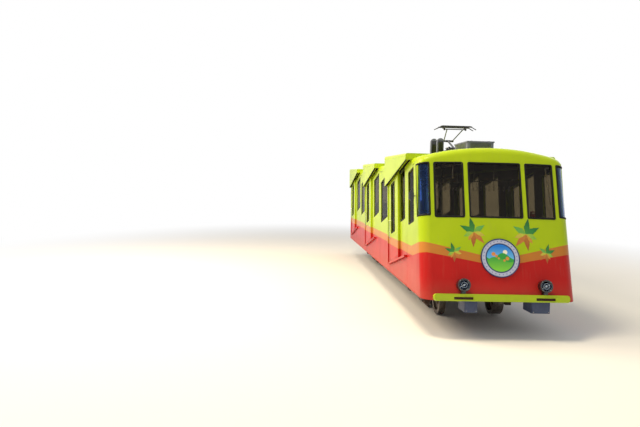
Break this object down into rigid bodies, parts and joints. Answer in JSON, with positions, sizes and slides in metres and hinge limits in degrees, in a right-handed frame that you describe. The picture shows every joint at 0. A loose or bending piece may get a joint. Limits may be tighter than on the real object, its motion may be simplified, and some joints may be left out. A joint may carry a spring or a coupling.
{
  "type": "funicular car",
  "caption": "Stepped inclined railway car with outside sliding doors under wedge hoods, raked glazed ends, swivelling bogies and a roof pantograph.",
  "frame": {"origin": "bottom centre of the whole car, on the plane that the wheel flanges touch", "axes": "+Z square to the track, +Y uphill along the rails, +X to the right seen from the downhill end; the cabin posts lean 11.28 degrees uphill of +Z because they are upright when the track is on its incline"},
  "size_m": [2.912, 13.535, 3.9372],
  "materials": {
    "lime_paint": "gloss",
    "roof_paint": "satin",
    "red_paint": "gloss",
    "floor_plate": "satin",
    "dark_paint": "matte",
    "window_glass": "polished",
    "tinted_glass": "polished",
    "blue_grey_paint": "matte",
    "forged_steel": "rough",
    "black_paint": "satin",
    "lamp_glass": "polished",
    "plate_paint": "gloss",
    "grey_paint": "satin",
    "insulator": "gloss",
    "seat_plastic": "matte",
    "polished_tube": "brushed",
    "cast_steel": "rough",
    "wheel_steel": "machined tread, rough web",
    "contact_strip": "rough"
  },
  "bodies": {
    "car_body": {"front_end_shell": "lime_paint", "rear_end_shell": "lime_paint", "side_panels_left": "lime_paint", "side_panels_right": "lime_paint", "door_surrounds": "lime_paint", "roof_skin": "roof_paint", "door_hoods": "lime_paint", "door_rails": "red_paint", "stepped_floor": "floor_plate", "sole_bars": "dark_paint", "cross_members": "dark_paint", "bogie_bolsters": "dark_paint", "end_window_glass": "window_glass", "corner_window_glass": "tinted_glass", "side_window_glass": "window_glass", "sill_boxes": "blue_grey_paint", "haul_rope_anchor": "forged_steel", "bumper_bars": "lime_paint", "headlamp_housings": "black_paint", "headlamp_lenses": "lamp_glass", "round_plates": "plate_paint", "roof_vent_box": "grey_paint", "roof_cowls": "grey_paint", "pantograph_base": "black_paint", "pantograph_insulators": "insulator", "benches": "seat_plastic", "driving_desks": "grey_paint", "grab_poles": "polished_tube", "driving_mirrors": "black_paint"},
    "front_bogie": {"bogie_frame_front": "dark_paint", "axle_boxes_front": "cast_steel", "rail_clamp_front": "forged_steel"},
    "wheelset_front_1": {"wheelset_front_1": "wheel_steel"},
    "wheelset_front_2": {"wheelset_front_2": "wheel_steel"},
    "rear_bogie": {"bogie_frame_rear": "dark_paint", "axle_boxes_rear": "cast_steel", "rail_clamp_rear": "forged_steel"},
    "wheelset_rear_1": {"wheelset_rear_1": "wheel_steel"},
    "wheelset_rear_2": {"wheelset_rear_2": "wheel_steel"},
    "sliding_door_left_1": {"door_left_1": "lime_paint", "door_glass_left_1": "window_glass"},
    "sliding_door_left_2": {"door_left_2": "lime_paint", "door_glass_left_2": "window_glass"},
    "sliding_door_left_3": {"door_left_3": "lime_paint", "door_glass_left_3": "window_glass"},
    "sliding_door_right_1": {"door_right_1": "lime_paint", "door_glass_right_1": "window_glass"},
    "sliding_door_right_2": {"door_right_2": "lime_paint", "door_glass_right_2": "window_glass"},
    "sliding_door_right_3": {"door_right_3": "lime_paint", "door_glass_right_3": "window_glass"},
    "lower_arm": {"pantograph_lower_arm": "black_paint"},
    "upper_arm": {"pantograph_upper_arm": "black_paint"},
    "contact_head": {"pantograph_head": "contact_strip"}
  },
  "joints": [
    {"name": "front_bogie_swivel", "type": "hinge", "parent": "car_body", "child": "front_bogie", "pos_m": [0, -3.93545, 0.555], "axis": [0, 0, 1], "range_deg": [-4, 4]},
    {"name": "wheelset_front_1_spin", "type": "hinge", "parent": "front_bogie", "child": "wheelset_front_1", "pos_m": [0, -4.68545, 0.325], "axis": [1, 0, 0], "continuous": true},
    {"name": "wheelset_front_2_spin", "type": "hinge", "parent": "front_bogie", "child": "wheelset_front_2", "pos_m": [0, -3.18545, 0.325], "axis": [1, 0, 0], "continuous": true},
    {"name": "rear_bogie_swivel", "type": "hinge", "parent": "car_body", "child": "rear_bogie", "pos_m": [0, 3.76455, 0.555], "axis": [0, 0, 1], "range_deg": [-4, 4]},
    {"name": "wheelset_rear_1_spin", "type": "hinge", "parent": "rear_bogie", "child": "wheelset_rear_1", "pos_m": [0, 3.01455, 0.325], "axis": [1, 0, 0], "continuous": true},
    {"name": "wheelset_rear_2_spin", "type": "hinge", "parent": "rear_bogie", "child": "wheelset_rear_2", "pos_m": [0, 4.51455, 0.325], "axis": [1, 0, 0], "continuous": true},
    {"name": "sliding_door_left_1_slide", "type": "slide", "parent": "car_body", "child": "sliding_door_left_1", "axis": [0, -0.9807, 0.1956], "range_m": [0, 0.95]},
    {"name": "sliding_door_left_2_slide", "type": "slide", "parent": "car_body", "child": "sliding_door_left_2", "axis": [0, -0.9807, 0.1956], "range_m": [0, 0.95]},
    {"name": "sliding_door_left_3_slide", "type": "slide", "parent": "car_body", "child": "sliding_door_left_3", "axis": [0, -0.9807, 0.1956], "range_m": [0, 0.95]},
    {"name": "sliding_door_right_1_slide", "type": "slide", "parent": "car_body", "child": "sliding_door_right_1", "axis": [0, -0.9807, 0.1956], "range_m": [0, 0.95]},
    {"name": "sliding_door_right_2_slide", "type": "slide", "parent": "car_body", "child": "sliding_door_right_2", "axis": [0, -0.9807, 0.1956], "range_m": [0, 0.95]},
    {"name": "sliding_door_right_3_slide", "type": "slide", "parent": "car_body", "child": "sliding_door_right_3", "axis": [0, -0.9807, 0.1956], "range_m": [0, 0.95]},
    {"name": "pantograph_raise", "type": "hinge", "parent": "car_body", "child": "lower_arm", "pos_m": [0.04, -3.23545, 3.445], "axis": [1, 0, 0], "range_deg": [-10, 35]},
    {"name": "pantograph_knee", "type": "hinge", "parent": "lower_arm", "child": "upper_arm", "pos_m": [0.04, -2.65395, 3.6601], "axis": [1, 0, 0], "range_deg": [-70, 20]},
    {"name": "pantograph_head_level", "type": "hinge", "parent": "upper_arm", "child": "contact_head", "pos_m": [0.04, -3.23545, 3.8752], "axis": [1, 0, 0], "range_deg": [-10, 35]}
  ],
  "couplings": [
    {"joint": "pantograph_knee", "follows": "pantograph_raise", "ratio": -2},
    {"joint": "pantograph_head_level", "follows": "pantograph_raise", "ratio": 1}
  ]
}
